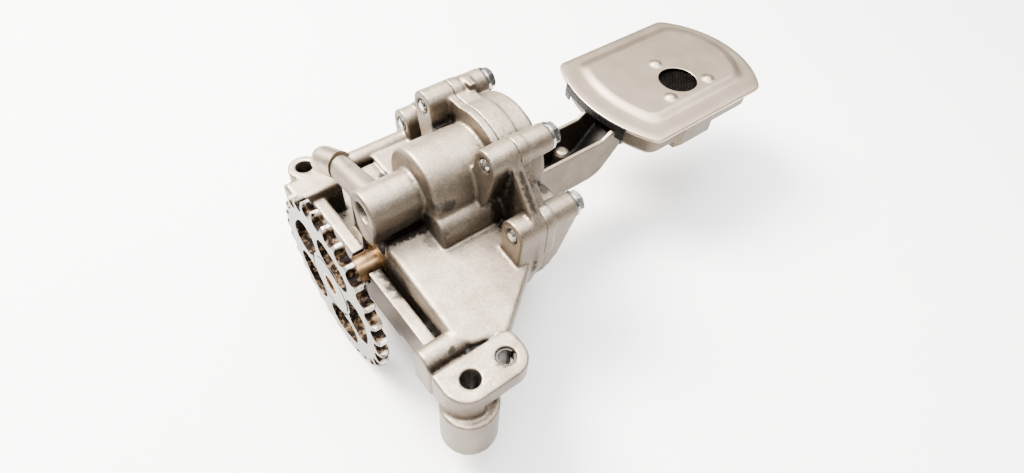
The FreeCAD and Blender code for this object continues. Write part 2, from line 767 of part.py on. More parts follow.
def far_webs():
    """Rail from the bar to the side boss, with the web plate, the raised pad and the wall under the bar."""
    rail = rod(BAR_X + 1, PART_X - 5, RAIL_R, RAIL_Y, RAIL_Z)
    plate = block(BAR_X, PART_X - 2, CENTRE / 3, RAIL_Y, WEB_LOW_Z, PIT_FLOOR_Z)
    high = block(VALVE_STEP_X + 0.5, PART_X - 2, CENTRE / 3, RAIL_Y, PIT_FLOOR_Z - 1, WEB_TOP_Z)
    pad = block(BAR_X, VALVE_STEP_X - 1, CENTRE / 5, CENTRE, PIT_FLOOR_Z - 1, PAD_TOP_Z)
    pad = bevel_where(pad, 1.0, lambda e: e.BoundBox.ZMin > PAD_TOP_Z - 0.01)
    wall = block(BAR_X, BAR_X + BAR_WEB_T, 0, BAR_END_Y - 8, BLOCK_FACE_Z + 10, BAR_END_Z)
    return [rail, plate, high, pad, wall]


def pump_body():
    case = rod(PART_X - CASE_L, PART_X, CASE_R)
    valve_case = rod(VALVE_STEP_X, PART_X - 1, VALVE_CASE_R, 0, CENTRE)
    valve_case = bevel_where(valve_case, 1.3, lambda e: e.BoundBox.XMax < VALVE_STEP_X + 0.01)
    gallery = rod(GALLERY_X, PART_X - 1, GALLERY_R, GALLERY_Y, GALLERY_Z)
    gallery = bevel_where(gallery, 0.6, lambda e: e.BoundBox.XMax < GALLERY_X + 0.01)
    nose_low = (0, CENTRE - VALVE_NOSE_DROP)
    nose = pill_x(VALVE_NOSE_X, VALVE_STEP_X + 1, (0, CENTRE), VALVE_NOSE_R, nose_low, VALVE_NOSE_LOW_R)
    nose = bevel_where(nose, 0.7, lambda e: e.BoundBox.XMax < VALVE_NOSE_X + 0.01)
    web = block(HOUSING_FRONT_X + 2, VALVE_STEP_X + 1, -5, 5, 0, CENTRE - VALVE_NOSE_DROP)
    lump = rod(LUMP_X0, LUMP_X1, LUMP_R, LUMP_Y, LUMP_Z)
    lump = bevel_where(lump, 0.8, lambda e: e.BoundBox.XMax < LUMP_X0 + 0.01)
    lump = fillet_where(lump, 4.0, lambda e: e.BoundBox.XMin > LUMP_X1 - 0.01)
    lump_block = block(LUMP_X0, BEAM_X + 10, LUMP_Y - LUMP_R, LUMP_Y + LUMP_R, LUMP_LOW_Z, LUMP_Z)
    lump_block = bevel_where(lump_block, 0.8, lambda e: e.BoundBox.XMax < LUMP_X0 + 0.01)
    beam = block(BEAM_X, BEAM_X + BEAM_T, FOOT_Y + 22, BEAM_END_Y, BEAM_LOW_Z, BEAM_TOP_Z)
    base = block(BEAM_X, PART_X - 6, -LOW_BOLT_Y, BEAM_END_Y - 22, BLOCK_FACE_Z + 8, BLOCK_FACE_Z + 14)
    collar = post(BLOCK_FACE_Z, DUCT_FLOOR_Z + 1, OUTLET_COLLAR_R, OUTLET_X, OUTLET_Y)
    solid = fuse(
        rod(HOUSING_FRONT_X, PART_X, SHAFT_HOUSING_R),
        case,
        valve_case,
        gallery,
        nose,
        web,
        beam,
        lump,
        lump_block,
        base,
        flange(PART_X - FLANGE_T, PART_X, 8.0, BOLT_BOSS_R - 1),
        *body_bosses(),
        side_rim(-1, PART_X - FLANGE_T - 2, PART_X - 2),
        side_rim(1, PART_X - FLANGE_T - 2, PART_X - 2),
        duct(),
        *foot(),
        *lug(),
        cross_bar(),
        *far_webs(),
        collar,
    )
    return solid.cut(group(body_cuts())).cut(plug_shape(SEAT_GAP))


def body_cuts():
    """Bores, gear pocket, passages and bolt holes of the body, as separate tools."""
    tools = [
        rod(BEAM_X - 1, PART_X, SHAFT_R + 1.0),
        rod(HOUSING_FRONT_X - 1, HOUSING_FRONT_X + FRONT_BUSH_L, BUSH_R),
        rod(PART_X - REAR_BUSH_L, PART_X, BUSH_R),
        rod(VALVE_NOSE_X - 1, VALVE_SEAT_X, VALVE_VENT_R, 0, CENTRE),
        rod(VALVE_SEAT_X, PART_X - AXLE_SEAT_L, VALVE_BORE_R, 0, CENTRE),
        rod(PART_X - AXLE_SEAT_L, PART_X, AXLE_R, 0, CENTRE),
        duct_passage(),
        post(BLOCK_FACE_Z - 1, LUG_TOP_Z + 1, FOOT_HOLE_R, LUG_X, LUG_Y),
        post(BLOCK_FACE_Z - 1, FOOT_TOP_Z + 1, FOOT_HOLE_R, FOOT_HOLE_X, FOOT_Y),
        post(BLOCK_FACE_Z - 1, FOOT_TOP_Z + 1, FOOT_HOLE_R, FOOT_HOLE_X + FOOT_HOLE_SPACING, FOOT_Y),
    ]
    for y, z, _ in bolt_places():
        tools.append(rod(BOLT_TIP_X - 1, PART_X + 1, BOLT_R, y, z))
        tools.append(rod(BOLT_TIP_X - 1, BOLT_TIP_X + 2, BOLT_HOLE_R + 0.5, y, z))
    for side in (-1, 1):
        tools.append(rod(PART_X - PIN_L / 2, PART_X + 1, PIN_R, side * PIN_Y, PIN_Z))
    inward = vec(0, -BAR_END_Y, BAR_NEAR_Z - BAR_END_Z)
    mouth = vec(BAR_X, BAR_END_Y, BAR_END_Z)
    tools.append(Part.makeCylinder(BAR_BORE_R, inward.Length * 0.7, mouth, inward))
    return tools


def plug_shape(grow):
    """Domed cap that leans off the end of the cross bar, made larger all round by the given gap."""
    along = vec(PLUG_LEAN_X, 1, PLUG_LEAN_Z)
    along.normalize()
    base = vec(BAR_X, BAR_END_Y, BAR_END_Z) - along * (PLUG_SINK + grow)
    r = PLUG_R + grow
    end = PLUG_H + 2 * grow
    profile = [(0, 0), (0, r)]
    for k in range(4):
        turn = k * pi / 6
        profile.append((end - PLUG_ROUND + PLUG_ROUND * sin(turn), r - PLUG_ROUND + PLUG_ROUND * cos(turn)))
    profile.append((end, 0))
    return revolved(profile, base, along)


def gallery_plug():
    return plug_shape(0)


# Cover with its suction channel

def channel_outline(place, floor_inset, end_inset, top_rise):
    """Side view of the suction channel: flat floor that curves up, and a top that rises to the strainer."""
    low = CHANNEL_LOW_Z + floor_inset
    end = CHANNEL_END_X - end_inset
    points = [
        (PART_X + COVER_FLANGE_T, CHANNEL_TOP_Z + top_rise),
        (PART_X + COVER_FLANGE_T, low),
        (CHANNEL_END_X - CHANNEL_CURVE_L - floor_inset / 2, low),
        (end, CHANNEL_TOP_Z - 9 + floor_inset),
        (end, CHANNEL_RISE_Z + top_rise),
        (CHANNEL_RISE_X + CHANNEL_RISE_L, CHANNEL_RISE_Z + top_rise),
        (CHANNEL_RISE_X, CHANNEL_TOP_Z + top_rise),
    ]
    return rounded(points, [0, 0, CHANNEL_CURVE_L, 1, 0, 0, 0], place)


def channel_hollow():
    """Open hollow of the suction channel, from the cover wall out through its far end."""
    near = CHANNEL_NEAR_Y + CHANNEL_WALL
    far = CHANNEL_FAR_Y - CHANNEL_WALL
    hollow = channel_outline(on_y(near), CHANNEL_WALL, -1, 1)
    hollow = hollow.extrude(vec(0, far - near, 0))
    return hollow.cut(block(PART_X, CASE_END_X, near - 1, far + 1, CHANNEL_LOW_Z - 1, CHANNEL_TOP_Z + 2))


def gusset(side):
    """Rib under a side boss: as long as the boss above, running out to the flange below."""
    outline = [
        (PART_X, SIDE_BOLT_Z - GUSSET_H),
        (PART_X + COVER_FLANGE_T, SIDE_BOLT_Z - GUSSET_H),
        (PART_X + 2 * COVER_FLANGE_T, SIDE_BOLT_Z - 0.8 * GUSSET_H),
        (COVER_END_X - 1, SIDE_BOLT_Z - 4), (COVER_END_X - 1, SIDE_BOLT_Z), (PART_X, SIDE_BOLT_Z),
    ]
    thick = BOLT_BOSS_R + 2
    near = side * SIDE_BOLT_Y - thick / 2 + side * (BOLT_BOSS_R - thick / 2 - 1)
    return rounded(outline, [0, 0, 4, 1, 0, 0], on_y(near)).extrude(vec(0, thick, 0))


def pump_cover():
    """Gear case with its deck, bosses, shoulders and gussets, and the channel that grows out of its end."""
    lower = pill_x(PART_X, CASE_END_X, (0, 0), CASE_R, (0, CENTRE), CASE_R)
    lower = bevel_where(lower, 2.5, lambda e: e.BoundBox.XMin > CASE_END_X - 0.1)
    high = rod(DECK_STEP_X - 1, CASE_END_X, DECK_R - DECK_STEP, 0, CENTRE)
    high = bevel_where(high, 2.5, lambda e: e.BoundBox.XMin > CASE_END_X - 0.1)
    bosses = [rod(PART_X, end, BOLT_BOSS_R - 0.4, y, z) for y, z, end in bolt_places()]
    ribs = []
    for side in (-1, 1):
        inner = min(side * 12, side * (SIDE_BOLT_Y - 2))
        outer = max(side * 12, side * (SIDE_BOLT_Y - 2))
        shoulder = block(PART_X, CASE_END_X, inner, outer, PIN_Z - 2 * PIN_R + 1, SIDE_BOLT_Z - 3)
        ribs.append(bevel_where(shoulder, 1.5, lambda e: e.BoundBox.XMin > CASE_END_X - 0.1))
        ribs.append(gusset(side))
    lump_y = TOP_BOLT_Y - BOLT_BOSS_R
    lump = block(DECK_STEP_X - 3, DECK_STEP_X + 1, lump_y, TOP_BOLT_Y, CENTRE, TOP_BOLT_Z + BOLT_BOSS_R)
    channel = channel_outline(on_y(CHANNEL_NEAR_Y), 0, 0, 0)
    channel = channel.extrude(vec(0, CHANNEL_FAR_Y - CHANNEL_NEAR_Y, 0))
    plate = flange(PART_X, PART_X + COVER_FLANGE_T, SIDE_BOLT_Z - 2 * BOLT_BOSS_R, BOLT_BOSS_R - 3)
    solid = fuse(plate, deck(PART_X, DECK_STEP_X), lower, high, lump, channel, *bosses, *ribs)
    return solid.cut(group(cover_cuts() + [channel_hollow()]))


def cover_cuts():
    """Gear pocket, shaft and axle seats, inlet port, pin holes, and bolt holes with a spot face for each head."""
    tools = [
        pill_x(PART_X - 1, POCKET_END_X, (0, 0), POCKET_R, (0, CENTRE), POCKET_R),
        rod(POCKET_END_X - 1, SHAFT_END_X, AXLE_R, 0, CENTRE),
        rod(POCKET_END_X - 1, SHAFT_END_X + FACE_GAP, BUSH_R),
        pill_x(
            POCKET_END_X - 1, CASE_END_X + 1, (INLET_PORT_Y, INLET_PORT_Z), INLET_PORT_R,
            (INLET_PORT_Y, INLET_PORT_Z + INLET_PORT_R), INLET_PORT_R,
        ),
        post(CHANNEL_LOW_Z - 1, CHANNEL_LOW_Z + CHANNEL_WALL + 1, BOLT_R, STUD_X, STUD_Y),
    ]
    for y, z, end in bolt_places():
        tools.append(rod(PART_X - 1, end + 1, BOLT_HOLE_R, y, z))
        tools.append(rod(end, CASE_END_X + 1, HEAD_FLANGE_R + SEAT_GAP, y, z))
    for side in (-1, 1):
        tools.append(rod(PART_X - 1, PART_X + PIN_L / 2, PIN_R, side * PIN_Y, PIN_Z))
    return tools


# Fasteners and pins

def flange_bolt(x_head, y, z):
    """Bolt along X with a hexagon head on a round flange and a rounded tip."""
    shank = rod(BOLT_TIP_X, x_head + HEAD_FLANGE_T, BOLT_R, y, z)
    shank = bevel_where(shank, 1.0, lambda e: e.BoundBox.XMax < BOLT_TIP_X + 0.01)
    washer = rod(x_head, x_head + HEAD_FLANGE_T, HEAD_FLANGE_R, y, z)
    corner_r = HEAD_AF / 2 / cos(pi / 6)
    corners = [
        vec(x_head, y + corner_r * cos(pi / 3 * k), z + corner_r * sin(pi / 3 * k)) for k in range(7)
    ]
    head = Part.Face(Part.makePolygon(corners)).extrude(vec(HEAD_H, 0, 0))
    dome = Part.makeCone(corner_r + HEAD_H, corner_r - 0.6, HEAD_H, vec(x_head, y, z), vec(1, 0, 0))
    return fuse(shank, washer, head.common(dome))


def cover_bolts():
    return group([flange_bolt(end, y, z) for y, z, end in bolt_places() if z > 0])


def lower_cover_bolts():
    return group([flange_bolt(end, y, z) for y, z, end in bolt_places() if z < 0])


def cover_pins():
    x0 = PART_X - PIN_L / 2
    x1 = PART_X + PIN_L / 2
    return group([rod(x0, x1, PIN_R, side * PIN_Y, PIN_Z) for side in (-1, 1)])


def split_sleeve(x, y, top):
    """Rolled spring sleeve with a slot down one side and a free end that slides into the block."""
    low = top - DOWEL_L
    free_top = FOOT_TOP_Z - FOOT_STEP_T - SEAT_GAP
    outer = fuse(post(free_top, top, FOOT_HOLE_R, x, y), post(low, free_top, DOWEL_FREE_R, x, y))
    sleeve = outer.cut(post(low, top, FOOT_HOLE_R - DOWEL_WALL, x, y))
    slot = block(x, x + FOOT_HOLE_R + 1, y - DOWEL_SLOT / 2, y + DOWEL_SLOT / 2, low - 1, top + 1)
    return sleeve.cut(slot)


def channel_stud():
    """Domed rivet that closes the hole in the floor of the suction channel."""
    floor = CHANNEL_LOW_Z + CHANNEL_WALL
    profile = [
        (0, 0), (0, STUD_R), (STUD_H - 2, STUD_R),
        (STUD_H - 0.6, STUD_R - 1), (STUD_H, STUD_R - 2.4), (STUD_H, 0),
    ]
    head = revolved(profile, vec(STUD_X, STUD_Y, floor), vec(0, 0, 1))
    return fuse(head, post(CHANNEL_LOW_Z, floor, BOLT_R, STUD_X, STUD_Y))


def foot_dowel():
    return split_sleeve(FOOT_HOLE_X + FOOT_HOLE_SPACING, FOOT_Y, FOOT_TOP_Z - 1.2)


# Strainer

def strainer_outline(inset, place):
    """Plate outline: two straight sides, two bowed ends and rounded corners."""
    near = PLATE_NEAR_Y + inset
    far = PLATE_FAR_Y - inset
    left = PLATE_LEFT_CORNER_X + inset * 0.6
    right = PLATE_RIGHT_CORNER_X - inset * 0.6
    mid = PLATE_MID_Y
    edges = [
        Part.makeLine(place(left, near), place(right, near)),
        Part.Arc(place(right, near), place(PLATE_RIGHT_X - inset, mid), place(right, far)).toShape(),
        Part.makeLine(place(right, far), place(left, far)),
        Part.Arc(place(left, far), place(PLATE_LEFT_X + inset, mid), place(left, near)).toShape(),
    ]
    return Part.Face(Part.Wire(edges))


def strainer_prism(inset, z0, z1):
    """Prism over the strainer outline with its four upright corners rounded."""
    solid = strainer_outline(inset, on_z(z0)).extrude(vec(0, 0, z1 - z0))
    radius = max(PLATE_CORNER_R - inset * 0.4, 1.0)
    return fillet_where(solid, radius, lambda e: e.BoundBox.ZLength > (z1 - z0) - 0.01)


def raised_panel(low_inset, low_z, high_z):
    """Panel whose sides slope up to a smaller outline, a little off the middle of the plate."""
    low = strainer_outline(low_inset, on_z(low_z)).OuterWire
    high = strainer_outline(RIM_W + SLOPE_W, on_z(high_z)).OuterWire
    solid = Part.makeLoft([low, high], True, True)
    solid.translate(vec(PANEL_SHIFT_X, PANEL_SHIFT_Y, 0))
    return solid


def strainer_plate():
    """Pressed sheet with a downturned lip, a raised panel, three dimples and the inlet hole."""
    rim_z = PLATE_TOP_Z - PLATE_STEP
    low = rim_z - PLATE_LIP
    skirt = strainer_prism(0, low, rim_z)
    skirt = bevel_where(skirt, 0.6, lambda e: e.BoundBox.ZMin > rim_z - 0.01)
    panel = raised_panel(RIM_W, rim_z, PLATE_TOP_Z)
    under = strainer_prism(PLATE_T, low - 1, rim_z - PLATE_T)
    under_panel = raised_panel(RIM_W + PLATE_T / 2, rim_z - PLATE_T, PLATE_TOP_Z - PLATE_T)
    dimples = []
    for k in range(3):
        angle = FIRST_DIMPLE_ANGLE + 2 * pi * k / 3
        x = INLET_X + DIMPLE_RING_R * cos(angle)
        y = INLET_Y + DIMPLE_RING_R * sin(angle)
        dimples.append(post(PLATE_TOP_Z - PLATE_T, PLATE_TOP_Z + DIMPLE_H, DIMPLE_R + PLATE_T, x, y, 1.5))
    plate = fuse(skirt, panel, *dimples).cut(fuse(under, under_panel))
    return plate.cut(post(low, PLATE_TOP_Z + 1, INLET_R, INLET_X, INLET_Y))


CUP_TOP_Z = PLATE_TOP_Z - PLATE_STEP - PLATE_T


def strainer_cup():
    """Shallow tub under the plate with bevelled floor edges, open to the channel at its left end."""
    def tub(inset, z0, z1):
        solid = strainer_prism(inset, z0, z1)
        return bevel_where(solid, CUP_BEVEL, lambda e: e.BoundBox.ZMax < z0 + 0.01)

    outer = tub(CUP_INSET, CUP_FLOOR_Z, CUP_TOP_Z)
    pad_y = PLATE_NEAR_Y + 1.5 * PLATE_T
    pad = block(PAD_X0, PAD_X1, pad_y, pad_y + PAD_DEPTH, PAD_LOW_Z, CUP_TOP_Z)
    pad = bevel_where(
        pad, PAD_BEVEL, lambda e: e.BoundBox.YMax < pad_y + 0.01 and e.BoundBox.ZMin < CUP_TOP_Z - 0.01
    )
    outer = fuse(outer, pad)
    inner = tub(CUP_INSET + CUP_WALL, CUP_FLOOR_Z + CUP_WALL, CUP_TOP_Z + 1)
    throat = block(
        PLATE_LEFT_X - 5, CHANNEL_END_X + 8,
        CHANNEL_NEAR_Y - FIT_GAP, CHANNEL_FAR_Y + FIT_GAP,
        CUP_FLOOR_Z - 10, CHANNEL_RISE_Z + FIT_GAP,
    )
    return outer.cut(inner).cut(throat)


def strainer_seal():
    """Lipped rubber strip round the plate's left end, with a tab that hangs down at each of its ends."""
    high = PLATE_TOP_Z - PLATE_STEP - FIT_GAP
    low = high - SEAL_H
    outer = strainer_prism(-SEAL_OUT, SEAL_TAB_LOW_Z, high)
    clear = strainer_prism(-FIT_GAP, SEAL_TAB_LOW_Z - 1, high + 1)
    strip = outer.cut(clear)
    pitch = SEAL_H / SEAL_LIPS
    for k in range(SEAL_LIPS):
        z = low + (k + 0.5) * pitch
        groove = strainer_prism(-SEAL_OUT - 1, z - 0.25, z + 0.25)
        strip = strip.cut(groove.cut(strainer_prism(-SEAL_OUT + 0.6, z - 0.25, z + 0.25)))
    x0 = PLATE_LEFT_X - 5
    x1 = PLATE_LEFT_CORNER_X + 8
    band = block(x0, x1, SEAL_NEAR_Y, SEAL_FAR_Y, low, high + 1)
    near_tab = block(x0, x1, SEAL_NEAR_Y, SEAL_NEAR_Y + SEAL_TAB_W, SEAL_TAB_LOW_Z - 1, low + 1)
    far_tab = block(x0, x1, SEAL_FAR_Y - SEAL_TAB_W, SEAL_FAR_Y, SEAL_TAB_LOW_Z - 1, low + 1)
    return strip.common(fuse(band, near_tab, far_tab))


def strainer_mesh():
    """Square gauze of crossed wires in a frame, held under the inlet."""
    z = PLATE_TOP_Z - PLATE_T - GAUZE_FRAME / 2

    def square(half_x, half_y, mid_x, mid_y, half_z):
        return block(
            INLET_X + mid_x - half_x, INLET_X + mid_x + half_x,
            INLET_Y + mid_y - half_y, INLET_Y + mid_y + half_y, z - half_z, z + half_z,
        )

    inner = INLET_R + GAUZE_MARGIN
    outer = inner + GAUZE_FRAME
    half = GAUZE_WIRE / 2
    frame = square(outer, outer, 0, 0, GAUZE_FRAME / 2).cut(square(inner, inner, 0, 0, GAUZE_FRAME))
    wires = []
    for k in range(GAUZE_BARS):
        offset = -inner + 2 * inner * (k + 0.5) / GAUZE_BARS
        wires.append(square(inner + 1, half, 0, offset, half))
        wires.append(square(half, inner + 1, offset, 0, half))
    return fuse(frame, *wires)


PIECES = {
    "pump_body": pump_body,
    "pump_cover": pump_cover,
    "drive_sprocket": drive_sprocket,
    "drive_shaft": drive_shaft,
    "drive_gear": drive_gear,
    "driven_gear": driven_gear,
    "driven_gear_bush": axle_bush,
    "idler_axle": idler_axle,
    "front_bush": lambda: bush(HOUSING_FRONT_X, FRONT_BUSH_L),
    "rear_bush": lambda: bush(PART_X - REAR_BUSH_L, REAR_BUSH_L),
    "cover_bush": lambda: bush(POCKET_END_X, SHAFT_TAIL),
    "relief_piston": relief_piston,
    "relief_spring": relief_spring,
    "gallery_plug": gallery_plug,
    "cover_bolts": cover_bolts,
    "lower_cover_bolts": lower_cover_bolts,
    "cover_pins": cover_pins,
    "foot_dowel": foot_dowel,
    "channel_stud": channel_stud,
    "strainer_plate": strainer_plate,
    "strainer_cup": strainer_cup,
    "strainer_mesh": strainer_mesh,
    "strainer_seal": strainer_seal,
}

os.makedirs("parts", exist_ok=True)
for name, make in PIECES.items():
    shape = make()
    shape.exportStep("parts/" + name + ".step")
    print(name, "solids", len(shape.Solids), "valid", shape.isValid(), "volume", round(shape.Volume))
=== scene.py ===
from math import atan, cos, pi, radians, sin

import bmesh
import bpy
import numpy as np
from mathutils import Matrix, Vector
from mathutils.bvhtree import BVHTree


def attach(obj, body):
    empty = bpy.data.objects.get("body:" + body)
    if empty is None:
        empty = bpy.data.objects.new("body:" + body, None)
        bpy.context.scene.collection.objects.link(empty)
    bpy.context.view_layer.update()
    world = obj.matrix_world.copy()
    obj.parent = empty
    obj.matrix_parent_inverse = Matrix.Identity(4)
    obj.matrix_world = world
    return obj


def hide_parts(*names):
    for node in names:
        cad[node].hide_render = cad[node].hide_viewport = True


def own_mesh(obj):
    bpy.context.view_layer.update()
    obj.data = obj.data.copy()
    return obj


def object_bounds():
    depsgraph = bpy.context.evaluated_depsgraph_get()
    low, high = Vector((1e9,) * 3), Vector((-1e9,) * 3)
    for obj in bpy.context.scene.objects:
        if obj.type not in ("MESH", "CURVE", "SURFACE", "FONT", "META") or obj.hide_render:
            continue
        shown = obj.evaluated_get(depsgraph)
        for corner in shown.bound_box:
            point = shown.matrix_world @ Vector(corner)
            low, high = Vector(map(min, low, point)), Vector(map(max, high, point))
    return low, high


# Looks of an engine oil pump: cast housing, chain sprocket, bolts, suction channel and strainer.
# Everything is in metres. X runs along the drive shaft and Z points away from the engine block.

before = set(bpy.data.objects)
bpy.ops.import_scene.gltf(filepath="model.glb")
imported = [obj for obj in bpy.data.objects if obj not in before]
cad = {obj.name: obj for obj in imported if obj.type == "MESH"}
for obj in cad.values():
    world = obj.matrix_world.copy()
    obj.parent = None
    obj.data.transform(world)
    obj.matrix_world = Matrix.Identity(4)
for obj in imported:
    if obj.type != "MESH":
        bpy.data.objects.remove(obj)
cad_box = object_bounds()
MM = 0.001


# Building materials

# Pattern sizes in millimetres. A blasting pit is a few tenths of a millimetre and a tool line less,
# too fine to show, so both are drawn coarser.
BLAST_PIT_MM = 0.55
BLAST_GRIT_MM = 1.7
BLAST_DEPTH_MM = 0.16
TOOL_LINE_MM = 0.8
TOOL_LINE_DEPTH_MM = 0.05
CASTING_TONE_MM = 13
CAST_EDGE_MM = 0.5
OIL_SMEAR_MM = 3.6
# Reach of the occlusion that darkens recesses with oil and painted shade
OIL_AND_SHADE_CORNER_MM = 9
SINTER_GRAIN_MM = 0.8
SINTER_DEPTH_MM = 0.06
BURNT_OIL_MM = 3.2
TOOTH_EDGE_MM = 0.25
# Distances from the shaft's axis between which the tooth flanks turn bright
POLISH_FROM_MM, POLISH_TO_MM = 42.6, 44.2
RUBBER_DUST_MM = 2.5
PAPER_TONE_MM = 40

# Brown of the painted shade on upright walls
PAINTED_WALL_SHADE = "#3a3028"
# Near-black and brown of the oil stains and of the painted shade in recesses
OIL_AND_SHADE_BLACK, OIL_AND_SHADE_BROWN = "#0b0806", "#2c2219"
OIL_ROUGHNESS = 0.34
LOW_SPECULAR = 0.2


def linear(hex_colour):
    """Linear RGBA of an sRGB hex colour."""
    values = [int(hex_colour[i:i + 2], 16) / 255 for i in (1, 3, 5)]
    return [v / 12.92 if v <= 0.04045 else ((v + 0.055) / 1.055) ** 2.4 for v in values] + [1.0]


def add(tree, kind, inputs=None, **settings):
    """Adds a shader node; an input takes a plain value or another node's output."""
    node = tree.nodes.new(kind)
    for name, value in settings.items():
        setattr(node, name, value)
    for name, value in (inputs or {}).items():
        if isinstance(value, bpy.types.NodeSocket):
            tree.links.new(value, node.inputs[name])
        else:
            node.inputs[name].default_value = value
    return node


def start_material(name):
    """New material with its shader and the surface point in metres."""
    material = bpy.data.materials.new(name)
    material.use_nodes = True
    tree = material.node_tree
    tree.nodes.clear()
    shader = add(tree, "ShaderNodeBsdfPrincipled")
    add(tree, "ShaderNodeOutputMaterial", {"Surface": shader.outputs["BSDF"]})
    place = add(tree, "ShaderNodeTexCoord").outputs["Object"]
    return material, tree, shader, place


def math(tree, operation, *values):
    """One arithmetic step on numbers or on other nodes' outputs."""
    return add(tree, "ShaderNodeMath", dict(enumerate(values)), operation=operation).outputs["Value"]


def vector_math(tree, operation, *values):
    """One step of vector arithmetic."""
    node = add(tree, "ShaderNodeVectorMath", dict(enumerate(values)), operation=operation)
    return node.outputs["Value" if operation in ("LENGTH", "DOT_PRODUCT") else "Vector"]


def spread(tree, value, low, high, to_low=0.0, to_high=1.0):
    """Stretches a range of a value over another range and clips it there."""
    inputs = {"Value": value, "From Min": low, "From Max": high, "To Min": to_low, "To Max": to_high}
    return add(tree, "ShaderNodeMapRange", inputs).outputs["Result"]


def noise(tree, place, size_mm, detail=3.0, rough=0.5):
    """Cloudy pattern between 0 and 1 with features of a size in millimetres."""
    inputs = {"Vector": place, "Scale": 1000 / size_mm, "Detail": detail, "Roughness": rough}
    return add(tree, "ShaderNodeTexNoise", inputs).outputs["Fac"]


def blend(tree, share, a, b):
    """Colour between two colours."""
    a, b = (linear(c) if isinstance(c, str) else c for c in (a, b))
    return add(tree, "ShaderNodeMix", {"Factor": share, "A": a, "B": b}, data_type="RGBA").outputs["Result"]


def off_line(tree, place, start, end, reach):
    """Distance from the line between two points in millimetres, as a share of its reach."""
    start, end = Vector(start) * MM, Vector(end) * MM
    run = end - start
    from_start = vector_math(tree, "SUBTRACT", place, start)
    along = vector_math(tree, "DOT_PRODUCT", from_start, run / run.length_squared)
    along = add(tree, "ShaderNodeClamp", {"Value": along}).outputs["Result"]
    step = add(tree, "ShaderNodeVectorMath", {0: run, "Scale": along}, operation="SCALE").outputs["Vector"]
    away = vector_math(tree, "LENGTH", vector_math(tree, "SUBTRACT", from_start, step))
    return math(tree, "DIVIDE", away, reach * MM)


def off_box(tree, place, low, high):
    """Distance from the middle of a box with corners in millimetres, as a share of its half size."""
    middle = (Vector(low) + Vector(high)) / 2 * MM
    half = (Vector(high) - Vector(low)) / 2 * MM
    away = vector_math(tree, "ABSOLUTE", vector_math(tree, "SUBTRACT", place, middle))
    away = vector_math(tree, "DIVIDE", away, half)
    parts = add(tree, "ShaderNodeSeparateXYZ", {"Vector": away}).outputs
    return math(tree, "MAXIMUM", math(tree, "MAXIMUM", parts["X"], parts["Y"]), parts["Z"])


def cast_aluminium(name, light, shade, streaks=(), baths=(), gloss=0.42):
    """Die-cast aluminium, shot-blasted: pale, warm, satin and gritty, with black oil and painted shade in its
    recesses and painted shade on its upright walls.
    """
    material, tree, shader, place = start_material(name)
    grain = noise(tree, place, BLAST_PIT_MM, 2.0)
    grit = noise(tree, place, BLAST_GRIT_MM, 4.0, 0.7)
    tone = spread(tree, noise(tree, place, CASTING_TONE_MM, 5.0, 0.6), 0.35, 0.68)
    metal = blend(tree, tone, light, shade)

    # The blasted skin is dark pits between bright specks
    fine = spread(tree, grain, 0.30, 0.66, 0.66, 1.16)
    coarse = spread(tree, grit, 0.30, 0.66, 0.84, 1.08)
    pits = {0: metal, "Scale": math(tree, "MULTIPLY", fine, coarse)}
    metal = add(tree, "ShaderNodeVectorMath", pits, operation="SCALE").outputs["Vector"]

    # Upright walls are painted a darker brown than the tops, on every side alike: painted shade
    facing = add(tree, "ShaderNodeTexCoord").outputs["Normal"]
    upright = vector_math(tree, "LENGTH", vector_math(tree, "MULTIPLY", facing, (1, 1, 0)))
    metal = blend(tree, spread(tree, upright, 0.45, 0.95, 0.0, 0.75), metal, PAINTED_WALL_SHADE)

    # Oil and painted shade gather where the surface is hemmed in: the oil mask darkens recesses by how closed in
    # they are
    smear = noise(tree, place, OIL_SMEAR_MM, 6.0, 0.72)
    corners = {"Distance": OIL_AND_SHADE_CORNER_MM * MM}
    open_sky = add(tree, "ShaderNodeAmbientOcclusion", corners, samples=8).outputs["AO"]
    oil = spread(tree, math(tree, "SUBTRACT", smear, open_sky), -0.22, 0.12)

    # A streak of oil and painted shade reaches further in corners than on open skin, and frays into specks at
    # its edge
    frayed = math(tree, "MULTIPLY_ADD", smear, 1.3, -1.0)
    specks = math(tree, "MULTIPLY_ADD", grit, 0.9, -0.45)
    ragged = math(tree, "MULTIPLY_ADD", open_sky, 0.45, math(tree, "ADD", frayed, specks))
    for start, end, reach, strength in streaks:
        away = math(tree, "ADD", off_line(tree, place, start, end, reach), ragged)
        oil = math(tree, "MAXIMUM", oil, spread(tree, away, 0.98, 0.60, 0.0, strength))
    for low, high in baths:
        oil = math(tree, "MAXIMUM", oil, spread(tree, off_box(tree, place, low, high), 1.0, 0.985))

    # Colour of the oil and of the painted shade
    oil_and_shade_colour = blend(tree, spread(tree, grit, 0.45, 0.72), OIL_AND_SHADE_BLACK, OIL_AND_SHADE_BROWN)
    colour = blend(tree, oil, metal, oil_and_shade_colour)
    dry = spread(tree, grain, 0, 1, gloss - 0.06, gloss + 0.12)
    rough = add(tree, "ShaderNodeMix", {"Factor": oil, "A": dry, "B": OIL_ROUGHNESS}).outputs["Result"]
    skin = math(tree, "ADD", grain, math(tree, "MULTIPLY", grit, 1.4))
    normal = relief(tree, skin, BLAST_DEPTH_MM, 0.6, CAST_EDGE_MM)
    dress(tree, shader, colour, rough, normal, spread(tree, oil, 0, 1, 0.9, 0.0))
    shader.inputs["Specular IOR Level"].default_value = LOW_SPECULAR
    return material


def relief(tree, height, depth_mm, strength, edge_mm):
    """Surface direction with softened edges and a pattern pressed into it."""
    soft = add(tree, "ShaderNodeBevel", {"Radius": edge_mm * MM}, samples=4).outputs["Normal"]
    inputs = {"Height": height, "Distance": depth_mm * MM, "Strength": strength, "Normal": soft}
    return add(tree, "ShaderNodeBump", inputs).outputs["Normal"]


